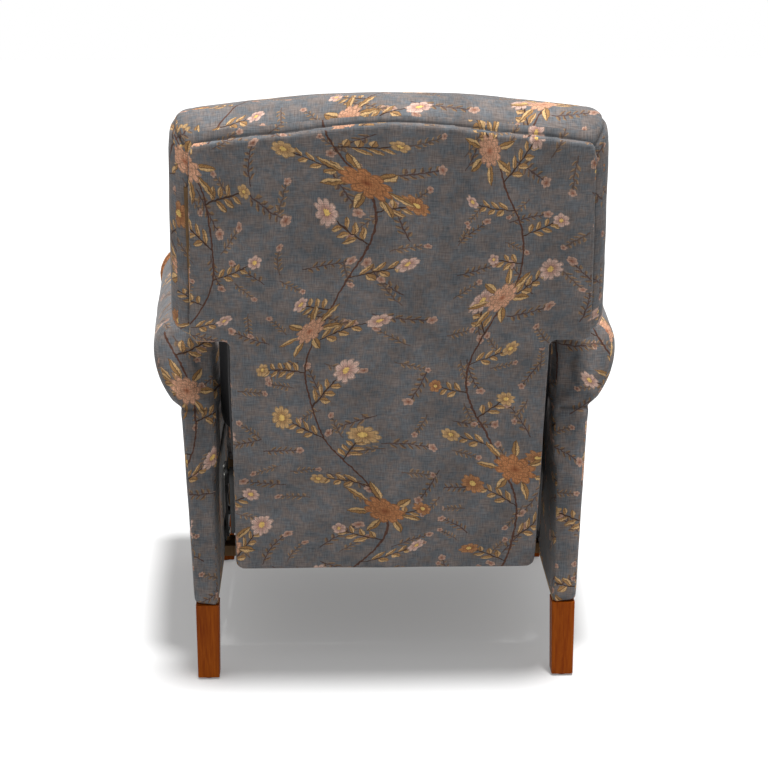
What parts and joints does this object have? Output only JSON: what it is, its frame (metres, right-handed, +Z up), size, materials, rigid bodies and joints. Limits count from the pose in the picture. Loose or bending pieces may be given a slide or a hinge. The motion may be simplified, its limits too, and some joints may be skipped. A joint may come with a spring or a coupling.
{
  "type": "high leg recliner",
  "caption": "Push-back recliner armchair with a T-shaped camel-back, rolled arms, square wooden legs and a folding footrest, upholstered in printed cloth.",
  "frame": {"origin": "on the floor, under the middle of the chair's box", "axes": "+Z up, -Y towards the front, +X towards the sitter's left"},
  "size_m": [0.864, 0.9176, 1.0514],
  "materials": {
    "upholstery_fabric": "woven linen-look upholstery cloth, slate grey ground with a gold and blush floral print",
    "leg_wood": "stained hardwood, satin lacquer, warm orange-brown",
    "plywood": "bare plywood",
    "frame_wood": "bare sawn hardwood",
    "glide_plastic": "moulded black nylon",
    "black_steel": "black painted stamped steel",
    "zinc_steel": "zinc plated steel",
    "spring_wire": "dull spring steel wire",
    "felt": "needled felt pad"
  },
  "bodies": {
    "base": {"left_side_panel": "plywood", "right_side_panel": "plywood", "leg_blocks": "frame_wood", "left_arm_cover": "upholstery_fabric", "right_arm_cover": "upholstery_fabric", "left_arm_front_panel": "upholstery_fabric", "right_arm_front_panel": "upholstery_fabric", "rear_left_leg": "leg_wood", "rear_right_leg": "leg_wood", "front_left_leg": "leg_wood", "front_right_leg": "leg_wood", "leg_glides": "glide_plastic", "leg_bolts": "zinc_steel", "front_stretcher": "frame_wood", "rear_stretcher": "frame_wood", "left_base_plate": "black_steel", "right_base_plate": "black_steel", "frame_screws": "zinc_steel", "base_pivot_pins": "zinc_steel"},
    "rear_swing": {"left_rear_link": "black_steel", "right_rear_link": "black_steel", "rear_swing_tube": "black_steel"},
    "front_swing": {"left_front_link": "black_steel", "right_front_link": "black_steel", "front_swing_tube": "black_steel"},
    "seat": {"left_seat_plate": "black_steel", "right_seat_plate": "black_steel", "seat_side_rails": "frame_wood", "seat_front_rail": "frame_wood", "seat_rear_rail": "frame_wood", "seat_springs": "spring_wire", "seat_deck": "felt", "seat_cushion": "upholstery_fabric", "seat_pivot_pins": "zinc_steel", "seat_plate_screws": "zinc_steel"},
    "back": {"left_back_stile": "frame_wood", "right_back_stile": "frame_wood", "back_top_rail": "frame_wood", "back_lumbar_rail": "frame_wood", "back_bottom_rail": "frame_wood", "wing_boards": "frame_wood", "back_springs": "spring_wire", "back_cushion": "upholstery_fabric", "outside_back": "upholstery_fabric", "left_back_bracket": "black_steel", "right_back_bracket": "black_steel", "back_bracket_screws": "zinc_steel"},
    "footrest_carrier": {"left_carrier_link": "black_steel", "right_carrier_link": "black_steel", "carrier_pins": "zinc_steel"},
    "footrest_scissor": {"left_scissor_link": "black_steel", "right_scissor_link": "black_steel"},
    "footrest_steering": {"steering_links": "black_steel"},
    "footrest": {"footrest_board": "plywood", "footrest_pad": "upholstery_fabric", "left_footrest_bracket": "black_steel", "right_footrest_bracket": "black_steel", "footrest_pins": "zinc_steel"}
  },
  "joints": [
    {"name": "recline_swing", "type": "hinge", "parent": "base", "child": "rear_swing", "pos_m": [0, -0.0208, 0.185], "axis": [1, 0, 0], "range_deg": [0, 28], "stiffness_Nm_per_rad": 120, "springref_deg": -25.78},
    {"name": "seat_level", "type": "hinge", "parent": "rear_swing", "child": "seat", "pos_m": [0, 0.01544, 0.32023], "axis": [-1, 0, 0], "range_deg": [0, 28.01]},
    {"name": "front_swing_turn", "type": "hinge", "parent": "base", "child": "front_swing", "pos_m": [0, -0.2408, 0.185], "axis": [1, 0, 0], "range_deg": [0, 28.01]},
    {"name": "back_recline", "type": "hinge", "parent": "seat", "child": "back", "pos_m": [0, 0.0942, 0.33], "axis": [-1, 0, 0], "range_deg": [0, 35.01]},
    {"name": "carrier_turn", "type": "hinge", "parent": "seat", "child": "footrest_carrier", "pos_m": [0, -0.3558, 0.33], "axis": [-1, 0, 0], "range_deg": [0, 94.51]},
    {"name": "scissor_turn", "type": "hinge", "parent": "footrest_carrier", "child": "footrest_scissor", "pos_m": [0, -0.3132, 0.18618], "axis": [1, 0, 0], "range_deg": [0, 118.56]},
    {"name": "steering_turn", "type": "hinge", "parent": "footrest_carrier", "child": "footrest_steering", "pos_m": [0, -0.33137, 0.24754], "axis": [1, 0, 0], "range_deg": [0, 118.56]},
    {"name": "footrest_tilt", "type": "hinge", "parent": "footrest_scissor", "child": "footrest", "pos_m": [0, -0.3958, 0.296], "axis": [-1, 0, 0], "range_deg": [0, 118.56]}
  ],
  "couplings": [
    {"joint": "seat_level", "follows": "recline_swing", "ratio": 1},
    {"joint": "front_swing_turn", "follows": "recline_swing", "ratio": 1},
    {"joint": "back_recline", "follows": "recline_swing", "ratio": 1.25},
    {"joint": "carrier_turn", "follows": "recline_swing", "ratio": 3.375},
    {"joint": "scissor_turn", "follows": "recline_swing", "ratio": 4.234},
    {"joint": "steering_turn", "follows": "recline_swing", "ratio": 4.234},
    {"joint": "footrest_tilt", "follows": "recline_swing", "ratio": 4.234}
  ]
}
